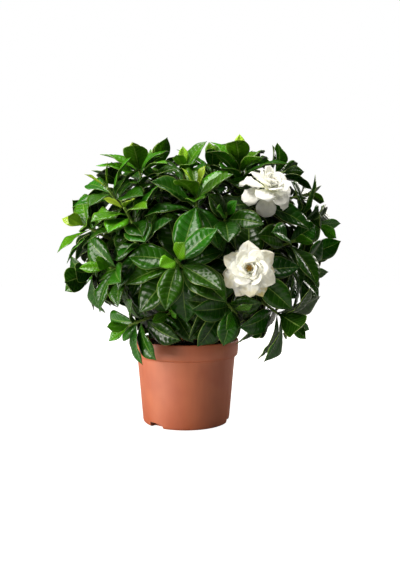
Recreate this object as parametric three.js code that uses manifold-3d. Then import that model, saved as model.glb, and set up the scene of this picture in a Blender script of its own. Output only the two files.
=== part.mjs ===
// A potted gardenia: a moulded grower's pot, its soil, four rooted cuttings and their woody branches,
// the leafy shoots that the branches carry, and two double blooms.
// Millimetres, +Z up. The origin is the middle of the pot's flat underside; -Y is the plant's front.
import * as THREE from "three";
import { mergeVertices } from "three/addons/utils/BufferGeometryUtils.js";
import Module from "manifold-3d";

// ---- driving dimensions ----

const GAP = 0.3; // between neighbouring pieces

const POT_HEIGHT = 94.5;
const RIM_RADIUS = 60.5;
const BAND_DEPTH = 19; // the upright collar round the rim
const FOOT_RADIUS = 49.8;
const SHOULDER_RADIUS = 56.4; // body radius just under the collar
const WALL = 1.6;
const FLOOR = 2.4;
const DRAINS = { count: 3, width: 19, height: 5.5, depth: 9, first: -131 }; // notches in the foot
const POT_SIDES = 40;

const SOIL_TOP = 86;
const SOIL_SIDES = 24;
const ROOTED = 30; // how deep the woody stems stand in the soil

const TRUNK = { sides: 6, radii: [3.6, 2.6] };
const BRANCH = { sides: 3, radii: [2.3, 1.8] };
const CUTTINGS = [
  { name: "front_left", root: [-20, -14], fork: [-36, -24, 190] },
  { name: "front_right", root: [17, -17], fork: [44, -26, 190] },
  { name: "back_left", root: [-16, 18], fork: [-36, 34, 190] },
  { name: "back_right", root: [20, 16], fork: [46, 34, 190] },
];

// A green shoot is a six-sided stem. Its whorls run from its oldest leaves to its newest: place along
// the shoot, number of leaves, degrees that they stand off the shoot, length against the longest,
// and degrees of arch.
const SHOOT = { length: 44, sides: 6, radii: [1.7, 1.2], node: 2.2 };
const WHORLS = [
  { place: 0.2, leaves: 3, spread: 96, size: 0.9, arch: 42 },
  { place: 0.5, leaves: 3, spread: 84, size: 1, arch: 40 },
  { place: 0.76, leaves: 3, spread: 60, size: 0.88, arch: 32 },
  { place: 0.95, leaves: 2, spread: 22, size: 0.5, arch: 12 },
];
const SEPALS = [{ place: 0.95, leaves: 6, spread: 60, size: 0.2, arch: 20 }];
const LEAF = { thickness: 1.3, stations: [0.28, 0.55, 0.8, 1], slender: 0.5, fold: 16, wave: 0.03 };
// Leaves hang and face the sky by these parts of their own heading, close up by this part on a shoot
// that points straight up, and stand no closer to the shoot than these degrees.
const HABIT = { hang: 0.12, skyward: 0.35, closing: 0.38, closest: 14 };

// Each shoot: name, tip, compass and height of the way it points in degrees (0 is +X, -90 the front),
// length of its longest leaves, and the compass turn of its first whorl.
const SHOOTS = [
  ["front_rosette", [-7, -112, 185], -100, 14, 62, 44],
  ["under_upper_bloom", [86, -62, 258], -62, 42, 60, 20],
  ["under_lower_bloom", [64, -106, 175], -94, 10, 56, 30],
  ["left_cup", [-112, -40, 224], 208, 26, 54, 0],
  ["left_crown", [-84, -50, 264], 228, 46, 54, 40],
  ["left_brow", [-62, -80, 240], 240, 46, 52, 10],
  ["crown_left", [-52, -36, 292], 240, 68, 52, 10],
  ["brow", [12, -84, 258], -92, 56, 54, 0],
  ["crown_right", [60, -26, 298], -90, 72, 54, 0],
  ["crown_far_right", [112, -2, 286], 0, 20, 54, 30],
  ["middle_dark", [42, -86, 230], -88, 24, 58, 10],
  ["middle_left", [-50, -88, 204], 236, 26, 54, 50],
  ["right_shoulder", [118, -56, 206], -38, 16, 60, 30],
  ["right_upper", [150, -14, 226], -6, -18, 56, 40],
  ["right_crown", [142, 4, 262], 8, 14, 50, 50],
  ["right_droop", [130, -40, 170], -20, -16, 56, 40],
  ["right_skirt", [110, -66, 120], -24, -34, 58, 0],
  ["front_skirt", [50, -94, 134], -64, -22, 60, 30],
  ["left_droop", [-112, -36, 166], 200, -24, 60, 20],
  ["left_skirt", [-60, -68, 116], 206, -18, 54, 40],
  ["left_low_front", [-78, -78, 178], 222, 8, 58, 10],
  ["front_low", [-16, -78, 130], -105, -6, 48, 20],
  ["crown_middle", [30, -8, 296], -90, 76, 52, 20],
  ["crown_middle_left", [-34, 14, 297], 130, 76, 52, 30],
  ["back_crown_left", [-78, 26, 280], 160, 56, 56, 30],
  ["back_crown_right", [52, 56, 280], 70, 60, 56, 10],
  ["back_left_upper", [-110, 30, 232], 164, 30, 58, 10],
  ["back_middle_upper", [-14, 84, 252], 95, 44, 58, 40],
  ["back_right_upper", [92, 72, 240], 46, 36, 58, 0],
  ["back_left", [-82, 84, 190], 132, 14, 60, 0],
  ["back_middle", [4, 116, 188], 88, 12, 60, 20],
  ["back_right", [100, 88, 180], 42, 8, 60, 50],
  ["right_back", [146, 40, 190], 16, 6, 58, 20],
  ["left_back", [-112, 30, 168], 168, -10, 48, 50],
  ["back_skirt_left", [-48, 82, 134], 120, -14, 56, 10],
  ["back_skirt_right", [56, 84, 132], 60, -14, 56, 40],
  ["crown_back_right", [72, 30, 294], 80, 66, 52, 30],
  ["crown_front", [-2, -28, 288], -95, 66, 50, 0],
  ["inner_left", [-36, -56, 226], -112, 30, 50, 0],
].map(([name, tip, compass, height, blade, turn]) => ({ name, tip, compass, height, blade, turn }));

// A bloom's petals stand in whorls on a six-sided core, each whorl turned half a side from the last:
// place on the core, number of petals, degrees off the bloom's axis, length, width, degrees of arch,
// which is negative where they cup inwards, and how freely their ends take the bloom's own form. They
// overlap all one way round. A bloom may be cupped by some per cent more, have outer petals that hang,
// and have petals whose ends narrow by some part of their width.
const CORE = { height: 9, sides: 6, radii: [3.2, 3], node: 1.3 };
const SIDE_REACH = Math.cos(Math.PI / 6); // a six-sided section's flats against its corners
const PETAL_WHORLS = [
  { place: 1.6, petals: 6, spread: 100, length: 29, width: 22, arch: 26, loose: 1 },
  { place: 3.6, petals: 6, spread: 78, length: 26, width: 23, arch: 20, loose: 0.8 },
  { place: 5.6, petals: 6, spread: 54, length: 19, width: 17, arch: -6, loose: 0.4 },
  { place: 7.8, petals: 3, spread: 26, length: 13, width: 12, arch: -16, loose: 0.2 },
];
const PETAL = { thickness: 1.2, stations: [0.3, 0.6, 0.84, 1], overlap: -13, fold: 6, wave: 0.04 };
const HANGING_DROP = 34;
const HEART = { height: 3, sides: 6, radii: [1.3, 1], node: 0.8, spread: 36, length: 3, width: 1.4 };
const BLOOMS = [
  { name: "upper_bloom", shoot: "under_upper_bloom", turn: 20, cup: 12, hanging: [4], pointed: 0.2 },
  { name: "lower_bloom", shoot: "under_lower_bloom", turn: 0, cup: 0, hanging: [], pointed: 0.75 },
];

// ---- small tools ----

const wasm = await Module();
wasm.setup();

const radians = THREE.MathUtils.degToRad;
const UP = new THREE.Vector3(0, 0, 1);
const point = (x, y, z) => new THREE.Vector3(x, y, z);

// Numbers from 0 to 1 that are the same each time for the same seed.
function seeded(seed) {
  let state = seed >>> 0;
  return () => {
    state = (Math.imul(state, 1664525) + 1013904223) >>> 0;
    return state / 4294967296;
  };
}

function heading(compass, height) {
  const [turn, lift] = [radians(compass), radians(height)];
  return point(Math.cos(lift) * Math.cos(turn), Math.cos(lift) * Math.sin(turn), Math.sin(lift));
}

// A frame round an axis: the axis and two unit vectors square to it.
function framed(along) {
  const helper = Math.abs(along.z) < 0.9 ? UP : point(1, 0, 0);
  const right = new THREE.Vector3().crossVectors(helper, along).normalize();
  return { along, right, other: new THREE.Vector3().crossVectors(along, right) };
}

// The unit vector square to a frame's axis at an angle in degrees round it.
function aside({ right, other }, degrees) {
  const angle = radians(degrees);
  return right.clone().multiplyScalar(Math.cos(angle)).addScaledVector(other, Math.sin(angle));
}

function circle(middle, frame, radius, sides, turn) {
  return Array.from({ length: sides }, (_, j) =>
    middle.clone().addScaledVector(aside(frame, turn + (360 / sides) * j), radius),
  );
}

// A closed skin, built up from rings of points. Rings run anticlockwise seen from their far side.
function makeSkin() {
  const positions = [];
  const faces = [];
  return {
    ring: (points) => points.map((p) => positions.push(p.x, p.y, p.z) / 3 - 1),
    // Joins two rings; `open` tells which sides stay open. A ring of one point makes a tip. Sides are
    // halved by turns one way and the other, which splits both faces of a blade alike.
    bridge: (from, to, open = () => false) => {
      from.forEach((a, j) => {
        const next = (j + 1) % from.length;
        const [b, c, d] = [from[next], to[next], to[j]];
        if (to.length === 1) faces.push(a, b, to[0]);
        else if (!open(j)) faces.push(...(j % 2 ? [a, b, d, b, c, d] : [a, b, c, a, c, d]));
      });
    },
    close: (ring, atStart) => {
      for (let j = 1; j < ring.length - 1; j++) {
        const [second, third] = atStart ? [ring[j + 1], ring[j]] : [ring[j], ring[j + 1]];
        faces.push(ring[0], second, third);
      }
    },
    geometry: () => {
      const geometry = new THREE.BufferGeometry();
      geometry.setAttribute("position", new THREE.Float32BufferAttribute(positions, 3));
      return geometry.setIndex(faces);
    },
  };
}

function bared(geometry) {
  const bare = geometry.index ? geometry.toNonIndexed() : geometry.clone();
  bare.deleteAttribute("normal");
  bare.deleteAttribute("uv");
  return mergeVertices(bare, 1e-4);
}

function solidOf(geometry) {
  const merged = bared(geometry);
  return new wasm.Manifold(
    new wasm.Mesh({
      numProp: 3,
      vertProperties: merged.attributes.position.array,
      triVerts: new Uint32Array(merged.index.array),
    }),
  );
}

const fuse = (solids) => solids.reduce((whole, piece) => whole.add(piece));

function geometryOf(solid) {
  const mesh = solid.getMesh();
  const geometry = new THREE.BufferGeometry();
  geometry.setAttribute("position", new THREE.BufferAttribute(mesh.vertProperties, 3));
  return geometry.setIndex(new THREE.BufferAttribute(mesh.triVerts, 1));
}

// A tapered limb along a list of points, its section carried along without a twist; its last end is cut
// square to `finish`, where that is given.
function limb(points, { sides, radii }, finish) {
  const skin = makeSkin();
  const last = points.length - 1;
  let { right } = framed(points[1].clone().sub(points[0]).normalize());
  const rings = points.map((p, i) => {
    const chord = points[Math.min(i + 1, last)].clone().sub(points[Math.max(i - 1, 0)]);
    const along = i === last && finish ? finish : chord.normalize();
    right = right.clone().addScaledVector(along, -right.dot(along)).normalize();
    const frame = { right, other: new THREE.Vector3().crossVectors(along, right) };
    return skin.ring(circle(p, frame, THREE.MathUtils.lerp(...radii, i / last), sides, 0));
  });
  rings.slice(1).forEach((ring, i) => skin.bridge(rings[i], ring));
  skin.close(rings[0], true);
  skin.close(rings[last], false);
  return solidOf(skin.geometry());
}

// ---- blades: the form that leaves, sepals and petals share ----

// A blade grows from its root along `along`, with `up` out of its upper face. It arches away from `up`
// as a circle's arc, rolls and twists round its midrib, folds up along it and waves at its edges.
function makeBlade(root, along, up, form) {
  const straight = along.clone().normalize();
  const above = up.clone().addScaledVector(straight, -up.dot(straight)).normalize();
  const side = new THREE.Vector3().crossVectors(straight, above);
  return { root, along: straight, up: above, side, ...form };
}

function bladeFrame(blade, t) {
  const angle = blade.arch * t;
  const { along } = blade;
  const lifted = blade.up.clone().multiplyScalar(Math.cos(angle)).addScaledVector(along, Math.sin(angle));
  const roll = blade.roll + blade.twist * t;
  const side = blade.side.clone().multiplyScalar(Math.cos(roll)).addScaledVector(lifted, Math.sin(roll));
  const up = lifted.multiplyScalar(Math.cos(roll)).addScaledVector(blade.side, -Math.sin(roll));
  const middle = blade.root
    .clone()
    .addScaledVector(along, (blade.length * Math.sin(angle)) / blade.arch)
    .addScaledVector(blade.up, (-blade.length * (1 - Math.cos(angle))) / blade.arch);
  return { middle, side, up };
}

// The point of a blade's middle surface at t along it and s across it, from -1 to 1.
function bladePoint(blade, t, s) {
  const { middle, side, up } = bladeFrame(blade, t);
  const reach = blade.outline(t) * blade.width * 0.5;
  const ripple = blade.wave * Math.sin(2 * Math.PI * blade.waves * t + blade.phase + s) * s * s;
  return middle
    .addScaledVector(side, s * reach * Math.cos(blade.fold))
    .addScaledVector(up, Math.abs(s) * reach * Math.sin(blade.fold) + ripple * blade.outline(t));
}

// Half of the width against its greatest, along a leaf: a slim stalk, a wedge-shaped foot, the widest
// stretch just past the middle, and a drawn-out tip.
function leafOutline(t) {
  const stalk = 0.05;
  const past = Math.max(0, (t - stalk) / (1 - stalk));
  return Math.max(t < 0.5 ? 0.07 : 0, Math.sin(Math.PI * past ** 1.15) ** 0.8);
}

// The same along a petal: a narrow claw that widens to a round end, which may narrow to a point.
function petalOutline(t, pointed) {
  const opening = 0.1 + 0.9 * Math.sin((Math.PI / 2) * Math.min(1, t / 0.7)) ** 1.5;
  const closing = Math.sqrt(1 - 0.94 * Math.max(0, (t - 0.7) / 0.3) ** 2);
  return opening * closing * (1 - pointed * Math.max(0, (t - 0.55) / 0.45));
}

// Grows a blade out of a four-cornered opening in a skin.
function growBlade(skin, opening, blade, { stations, thickness }) {
  let from = opening;
  for (const t of stations) {
    const left = bladePoint(blade, t, -1);
    const right = bladePoint(blade, t, 1);
    const { up } = bladeFrame(blade, t);
    const middle = bladePoint(blade, t, 0);
    const top = middle.clone().addScaledVector(up, thickness / 2);
    const bottom = middle.clone().addScaledVector(up, -thickness / 2);
    const to = skin.ring(left.distanceTo(right) < 0.2 ? [left] : [right, bottom, left, top]);
    skin.bridge(from, to);
    from = to;
  }
  if (from.length > 1) skin.close(from, false);
}

// A stem or a bloom's core, with blades growing out of its sides. Each whorl names its place in mm up
// the stem, the turn of the stem's section there, and its blades by the side that they stand on.
function makeBladed(foot, along, { height, sides, radii, node }, whorls, form) {
  const frame = framed(along);
  const skin = makeSkin();
  const ringAt = (place, turn) => {
    const radius = THREE.MathUtils.lerp(...radii, place / height);
    return skin.ring(circle(foot.clone().addScaledVector(along, place), frame, radius, sides, turn));
  };
  let below = ringAt(0, whorls[0].turn);
  skin.close(below, true);
  for (const { place, turn, blades } of whorls) {
    const low = ringAt(place - node / 2, turn);
    const high = ringAt(place + node / 2, turn);
    skin.bridge(below, low);
    skin.bridge(low, high, (side) => blades.has(side));
    for (const [side, blade] of blades) {
      const next = (side + 1) % sides;
      growBlade(skin, [low[side], low[next], high[next], high[side]], blade, form);
    }
    below = high;
  }
  skin.close(below, false);
  return solidOf(skin.geometry());
}

// ---- room: which part of the air each piece already fills ----

const CELL = 2.6;
const AIR = { low: [-240, -240, 0], cells: [185, 185, 150] };
const NOBODY = 0;
const SEVERAL = -1;
const air = new Int16Array(AIR.cells[0] * AIR.cells[1] * AIR.cells[2]);
const own = new Int16Array(air.length);

const cellOf = (value, axis) => Math.floor((value - AIR.low[axis]) / CELL);
const indexOf = (i, j, k) => (k * AIR.cells[1] + j) * AIR.cells[0] + i;

// Marks the cells at and next to these points as an owner's.
function claim(grid, points, owner) {
  for (const p of points) {
    const [i, j, k] = [cellOf(p.x, 0), cellOf(p.y, 1), cellOf(p.z, 2)];
    for (let dk = -1; dk <= 1; dk++)
      for (let dj = -1; dj <= 1; dj++)
        for (let di = -1; di <= 1; di++) {
          const cell = indexOf(i + di, j + dj, k + dk);
          grid[cell] = grid[cell] === NOBODY || grid[cell] === owner ? owner : SEVERAL;
        }
  }
}

// The pot, the air just round it, and the table are never free.
function isOverPot(p) {
  return p.z < 8 || (p.z < POT_HEIGHT + 4 && Math.hypot(p.x, p.y) < RIM_RADIUS + 18);
}

function isFree(points, owner) {
  return points.every((p) => {
    const cell = indexOf(cellOf(p.x, 0), cellOf(p.y, 1), cellOf(p.z, 2));
    return (air[cell] === NOBODY || air[cell] === owner) && !isOverPot(p);
  });
}

function isClearOfSisters(points, owner) {
  return points.every((p) => own[indexOf(cellOf(p.x, 0), cellOf(p.y, 1), cellOf(p.z, 2))] !== owner);
}

// Points spread over a blade, close enough that nothing passes between them.
function spreadOver(blade, from) {
  const spacing = 1.9;
  const rows = Math.ceil(blade.length / spacing);
  const columns = Math.ceil(blade.width / spacing);
  const points = [];
  for (let row = Math.ceil(rows * from); row <= rows; row++)
    for (let column = 0; column <= columns; column++)
      points.push(bladePoint(blade, row / rows, (2 * column) / columns - 1));
  return points;
}

// ---- the pot and its soil ----

function makePot() {
  const band = POT_HEIGHT - BAND_DEPTH;
  const outside = [
    [0, 0],
    [FOOT_RADIUS - 3, 0],
    [FOOT_RADIUS - 0.8, 1],
    [FOOT_RADIUS, 3.2],
    [SHOULDER_RADIUS, band],
    [RIM_RADIUS - 2.6, band + 0.4],
    [RIM_RADIUS - 0.9, band + 2.8],
    [RIM_RADIUS, POT_HEIGHT - 1],
    [RIM_RADIUS - 0.6, POT_HEIGHT],
  ];
  const inside = [
    [RIM_RADIUS - WALL, POT_HEIGHT - 0.4],
    [RIM_RADIUS - WALL - 0.9, band + 3],
    [SHOULDER_RADIUS - WALL, band],
    [FOOT_RADIUS - WALL, FLOOR + 1.6],
    [FOOT_RADIUS - WALL - 2, FLOOR],
    [0, FLOOR],
  ];
  const profile = [...outside, ...inside].map(([r, z]) => new THREE.Vector2(r, z));
  const shell = solidOf(new THREE.LatheGeometry(profile, POT_SIDES).rotateX(Math.PI / 2));
  const notches = Array.from({ length: DRAINS.count }, (_, i) => {
    const notch = new THREE.BoxGeometry(DRAINS.depth * 2, DRAINS.width, DRAINS.height * 2);
    notch.translate(FOOT_RADIUS, 0, 0);
    notch.rotateZ(radians(DRAINS.first + (360 / DRAINS.count) * i));
    return solidOf(notch);
  });
  return shell.subtract(fuse(notches));
}

// The soil fills the pot to a little under the rim; its top is lumpy, and plain holes take the stems.
function makeSoil() {
  const draw = seeded(7);
  const clear = WALL + GAP;
  const low = FLOOR + DRAINS.height;
  const band = POT_HEIGHT - BAND_DEPTH;
  const wallAt = (z) => THREE.MathUtils.lerp(FOOT_RADIUS, SHOULDER_RADIUS, z / band) - clear;
  const profile = [
    [0, low],
    [wallAt(low) - DRAINS.depth, low],
    [wallAt(low + 3) - 0.4, low + 3],
    [wallAt(band - 1) - 0.4, band - 1],
    [RIM_RADIUS - clear - 2, SOIL_TOP - 1.5],
    [RIM_RADIUS * 0.66, SOIL_TOP + 1],
    [RIM_RADIUS * 0.33, SOIL_TOP],
    [0, SOIL_TOP + 1.5],
  ].map(([r, z]) => new THREE.Vector2(r, z));
  const heap = bared(new THREE.LatheGeometry(profile, SOIL_SIDES).rotateX(Math.PI / 2));
  const places = heap.getAttribute("position");
  for (let i = 0; i < places.count; i++) {
    const far = Math.hypot(places.getX(i), places.getY(i));
    const lump = 3 * (draw() - 0.5);
    if (places.getZ(i) > SOIL_TOP - 1 && far < RIM_RADIUS * 0.8) places.setZ(i, places.getZ(i) + lump);
  }
  const holes = CUTTINGS.map(({ root }) => {
    const radius = TRUNK.radii[0] + 0.5;
    const hole = new THREE.CylinderGeometry(radius, radius, 2 * (ROOTED + GAP), 8);
    return solidOf(hole.rotateX(Math.PI / 2).translate(root[0], root[1], SOIL_TOP));
  });
  return solidOf(heap).subtract(fuse(holes));
}

// ---- the woody stems ----

const axisOf = (shoot) => heading(shoot.compass, shoot.height);
const footOf = (shoot) => point(...shoot.tip).addScaledVector(axisOf(shoot), -SHOOT.length);

// The cutting whose fork stands nearest to a shoot, seen from above, carries it.
function cuttingOf(shoot) {
  const foot = footOf(shoot);
  const away = ({ fork }) => Math.hypot(foot.x - fork[0], foot.y - fork[1]);
  return CUTTINGS.reduce((best, cutting) => (away(cutting) < away(best) ? cutting : best));
}

// A trunk stands upright in its hole, and bends over to its fork once it is out of the soil.
function trunkCurve({ root, fork }) {
  const surface = point(root[0], root[1], SOIL_TOP + 3);
  const above = point(root[0], root[1], SOIL_TOP + 30);
  return new THREE.QuadraticBezierCurve3(surface, above, point(...fork));
}

// A cutting's branches, each a curve from its own place on the trunk round to the way that its shoot
// points. The shoot with the lowest foot leaves the trunk lowest.
function branchesOf(cutting) {
  const trunk = trunkCurve(cutting);
  const shoots = SHOOTS.filter((shoot) => cuttingOf(shoot) === cutting);
  shoots.sort((one, two) => footOf(one).z - footOf(two).z);
  return shoots.map((shoot, i) => {
    const start = trunk.getPoint(THREE.MathUtils.lerp(0.25, 0.98, i / (shoots.length - 1)));
    const end = footOf(shoot).addScaledVector(axisOf(shoot), -GAP);
    const bend = end.clone().addScaledVector(axisOf(shoot), -0.4 * start.distanceTo(end));
    return { shoot, curve: new THREE.QuadraticBezierCurve3(start, bend, end) };
  });
}

function makeWood(cutting) {
  const bottom = point(cutting.root[0], cutting.root[1], SOIL_TOP - ROOTED);
  const trunk = limb([bottom, ...trunkCurve(cutting).getPoints(3)], TRUNK);
  const branches = branchesOf(cutting).map(({ shoot, curve }) => {
    return limb(curve.getPoints(2), BRANCH, axisOf(shoot));
  });
  return fuse([trunk, ...branches]);
}

// ---- the leafy shoots ----

// A leaf on one side of a shoot, turned, raised and shortened by a trial's amounts.
function placeLeaf(shoot, whorl, compass, lean, trial) {
  const axis = axisOf(shoot);
  const outward = aside(framed(axis), compass + trial.turn);
  const opening = whorl.spread * (1 - (HABIT.closing * Math.max(0, shoot.height)) / 90);
  const spread = radians(Math.max(HABIT.closest, opening + trial.raise + lean.spread));
  const along = axis.clone().multiplyScalar(Math.cos(spread)).addScaledVector(outward, Math.sin(spread));
  const up = axis.clone().multiplyScalar(Math.sin(spread)).addScaledVector(outward, -Math.cos(spread));
  along.addScaledVector(UP, -HABIT.hang * whorl.size);
  up.addScaledVector(UP, HABIT.skyward * whorl.size);
  const whorlAt = footOf(shoot).addScaledVector(axis, SHOOT.length * whorl.place);
  const root = whorlAt.addScaledVector(outward, SHOOT.radii[1]);
  const length = shoot.blade * whorl.size * lean.size * trial.scale;
  return makeBlade(root, along, up, {
    length,
    width: length * LEAF.slender * lean.slender,
    arch: radians(whorl.arch * lean.arch),
    roll: radians(lean.roll),
    twist: radians(lean.twist),
    fold: radians(LEAF.fold),
    wave: LEAF.wave * length,
    waves: 1.5,
    phase: lean.phase,
    outline: leafOutline,
  });
}

// The ways a leaf may give way to its neighbours, least first.
const TRIALS = [1, 0.86, 0.72].flatMap((scale) =>
  [0, 12, -12, 24, -24, 36, -36].flatMap((raise) =>
    [0, 12, -12, 22, -22].map((turn) => ({ scale, raise, turn })),
  ),
);

function growLeaves(shoot, whorls, owner) {
  const draw = seeded(100 + owner);
  return whorls.map((whorl, row) => {
    const blades = new Map();
    for (let i = 0; i < whorl.leaves; i++) {
      const side = (row + i * (SHOOT.sides / whorl.leaves)) % SHOOT.sides;
      const lean = {
        spread: 16 * (draw() - 0.5),
        size: 0.9 + 0.2 * draw(),
        slender: 0.9 + 0.25 * draw(),
        arch: 0.5 + draw(),
        roll: 24 * (draw() - 0.5),
        twist: 36 * (draw() - 0.5),
        phase: 2 * Math.PI * draw(),
      };
      for (const trial of TRIALS) {
        const leaf = placeLeaf(shoot, whorl, shoot.turn + 60 * side, lean, trial);
        if (!isFree(spreadOver(leaf, 0.1), owner)) continue;
        if (!isClearOfSisters(spreadOver(leaf, 0.26), owner)) continue;
        claim(air, spreadOver(leaf, 0.1), owner);
        claim(own, spreadOver(leaf, 0.26), owner);
        blades.set(side, leaf);
        break;
      }
    }
    return { place: SHOOT.length * whorl.place, turn: shoot.turn - 30, blades };
  });
}

function makeShoot(shoot, owner) {
  const flowering = BLOOMS.some((bloom) => bloom.shoot === shoot.name);
  const whorls = flowering ? [...WHORLS.slice(0, 3), ...SEPALS] : WHORLS;
  const leaves = growLeaves(shoot, whorls, owner);
  return makeBladed(footOf(shoot), axisOf(shoot), { height: SHOOT.length, ...SHOOT }, leaves, LEAF);
}

// ---- the blooms ----

// A stem ends square just above its last whorl. A bloom sits on its shoot's end, and its heart on the
// end of its core.
function seatOf(shoot) {
  const end = SHOOT.length * SEPALS[0].place + SHOOT.node / 2;
  return footOf(shoot).addScaledVector(axisOf(shoot), end + GAP);
}

function makePetals(bloom, shoot) {
  const axis = axisOf(shoot);
  const seat = seatOf(shoot);
  const draw = seeded(bloom.turn + 31);
  return PETAL_WHORLS.map((whorl, row) => {
    const blades = new Map();
    for (let i = 0; i < whorl.petals; i++) {
      const side = i * (CORE.sides / whorl.petals);
      const outward = aside(framed(axis), bloom.turn + 60 * side + 30 * row + 6 * (draw() - 0.5));
      const drop = row === 0 && bloom.hanging.includes(side) ? HANGING_DROP : 0;
      const spread = radians(whorl.spread * (1 - bloom.cup / 100) + drop + 5 * (draw() - 0.5));
      const along = axis.clone().multiplyScalar(Math.cos(spread)).addScaledVector(outward, Math.sin(spread));
      const up = axis.clone().multiplyScalar(Math.sin(spread)).addScaledVector(outward, -Math.cos(spread));
      const whorlAt = seat.clone().addScaledVector(axis, whorl.place);
      const root = whorlAt.addScaledVector(outward, CORE.radii[1] * SIDE_REACH);
      const petal = makeBlade(root, along, up, {
        length: whorl.length * (0.92 + 0.16 * draw()),
        width: whorl.width * (0.92 + 0.16 * draw()),
        arch: radians(whorl.arch + 8 * (draw() - 0.5)),
        roll: radians(PETAL.overlap),
        twist: radians(10 * (draw() - 0.5)),
        fold: radians(PETAL.fold),
        wave: PETAL.wave * whorl.length,
        waves: 1.2,
        phase: 2 * Math.PI * draw(),
        outline: (t) => petalOutline(t, bloom.pointed * whorl.loose),
      });
      blades.set(side, petal);
    }
    return { place: whorl.place, turn: bloom.turn + 30 * row - 30, blades };
  });
}

// The stamens: a short six-sided column with a ring of slim blades, standing on the top of the core.
function makeHeart(bloom, shoot) {
  const axis = axisOf(shoot);
  const end = PETAL_WHORLS.at(-1).place + CORE.node / 2;
  const foot = seatOf(shoot).addScaledVector(axis, end + GAP);
  const place = HEART.height * 0.6;
  const size = { length: HEART.length, width: HEART.width };
  const form = { arch: 0.4, roll: 0, twist: 0, fold: 0, wave: 0, waves: 1, phase: 0 };
  const blades = new Map();
  for (let side = 0; side < HEART.sides; side++) {
    const outward = aside(framed(axis), bloom.turn + 60 * side);
    const spread = radians(HEART.spread);
    const along = axis.clone().multiplyScalar(Math.cos(spread)).addScaledVector(outward, Math.sin(spread));
    const up = axis.clone().multiplyScalar(Math.sin(spread)).addScaledVector(outward, -Math.cos(spread));
    const root = foot.clone().addScaledVector(axis, place);
    root.addScaledVector(outward, HEART.radii[0] * SIDE_REACH);
    blades.set(side, makeBlade(root, along, up, { ...size, ...form, outline: (t) => petalOutline(t, 0) }));
  }
  const whorl = { place, turn: bloom.turn - 30, blades };
  return makeBladed(foot, axis, HEART, [whorl], { stations: [0.5, 1], thickness: 0.7 });
}

// ---- the whole plant ----

const COLOURS = {
  pot: { color: 0xb4674a, roughness: 0.55 },
  soil: { color: 0x1d1613, roughness: 1 },
  bark: { color: 0x7a6a4c, roughness: 0.85 },
  foliage: { color: 0x1f5a17, roughness: 0.35 },
  petal: { color: 0xf6f3e6, roughness: 0.6 },
  heart: { color: 0xa9812f, roughness: 0.7 },
};

function mesh(name, solid, finish) {
  const material = new THREE.MeshStandardMaterial({ metalness: 0, ...COLOURS[finish] });
  const made = new THREE.Mesh(geometryOf(solid), material);
  made.name = name;
  return made;
}

const OWNERS = { wood: 1, bloom: 10, shoot: 100 };
const plant = new THREE.Group();
plant.add(mesh("pot", makePot(), "pot"));
plant.add(mesh("soil", makeSoil(), "soil"));
for (const cutting of CUTTINGS) plant.add(mesh(`wood_${cutting.name}`, makeWood(cutting), "bark"));
for (const cutting of CUTTINGS) {
  claim(air, trunkCurve(cutting).getPoints(60), OWNERS.wood);
  for (const { curve } of branchesOf(cutting)) claim(air, curve.getPoints(60), OWNERS.wood);
}
SHOOTS.forEach((shoot, i) => {
  const stem = new THREE.LineCurve3(footOf(shoot), point(...shoot.tip));
  claim(air, stem.getPoints(30), OWNERS.shoot + i);
});
BLOOMS.forEach((bloom, i) => {
  const shoot = SHOOTS.find(({ name }) => name === bloom.shoot);
  const petals = makePetals(bloom, shoot);
  for (const { blades } of petals)
    for (const petal of blades.values()) claim(air, spreadOver(petal, 0), OWNERS.bloom + i);
  plant.add(mesh(bloom.name, makeBladed(seatOf(shoot), axisOf(shoot), CORE, petals, PETAL), "petal"));
  plant.add(mesh(`${bloom.name}_heart`, makeHeart(bloom, shoot), "heart"));
});
SHOOTS.forEach((shoot, i) => {
  plant.add(mesh(`shoot_${shoot.name}`, makeShoot(shoot, OWNERS.shoot + i), "foliage"));
});

export default plant;
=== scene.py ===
"""A young double-flowered gardenia in its moulded nursery pot.

Everything is laid out in millimetres, as in a botanical drawing, and turned to metres when a point is
put in a mesh. +Z is up and -Y is the plant's front. Leaves and petals are laid on bent blades, which
are placed one after another in the room that is left, just as the solids of the frame are.
"""

import itertools
import math
from collections import namedtuple
from dataclasses import dataclass
from functools import partial
from typing import Callable

import bpy
import numpy as np
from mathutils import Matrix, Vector, noise


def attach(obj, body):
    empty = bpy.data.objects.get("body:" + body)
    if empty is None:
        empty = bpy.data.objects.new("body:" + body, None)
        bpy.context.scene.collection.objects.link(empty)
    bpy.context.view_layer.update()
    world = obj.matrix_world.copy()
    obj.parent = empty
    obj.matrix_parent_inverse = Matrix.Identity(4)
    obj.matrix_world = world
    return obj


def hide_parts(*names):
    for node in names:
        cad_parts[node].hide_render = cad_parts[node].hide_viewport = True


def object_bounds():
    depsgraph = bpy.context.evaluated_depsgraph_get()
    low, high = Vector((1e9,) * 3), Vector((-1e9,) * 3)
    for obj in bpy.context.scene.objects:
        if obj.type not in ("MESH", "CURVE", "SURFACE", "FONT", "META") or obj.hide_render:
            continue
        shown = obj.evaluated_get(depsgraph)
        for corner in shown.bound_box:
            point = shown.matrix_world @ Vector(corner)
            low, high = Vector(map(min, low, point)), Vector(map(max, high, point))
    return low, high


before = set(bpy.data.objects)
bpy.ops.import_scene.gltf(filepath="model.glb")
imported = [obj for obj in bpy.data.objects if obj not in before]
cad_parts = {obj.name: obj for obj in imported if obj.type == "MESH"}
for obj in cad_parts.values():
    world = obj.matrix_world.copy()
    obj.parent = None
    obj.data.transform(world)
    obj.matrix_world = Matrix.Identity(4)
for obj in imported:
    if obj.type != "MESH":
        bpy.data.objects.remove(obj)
cad_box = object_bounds()
cad_low, cad_high = (np.array(corner) * 1000 for corner in cad_box)

# ---- driving sizes, in mm and degrees ----

MM = 0.001
GAP = 0.3

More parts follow.
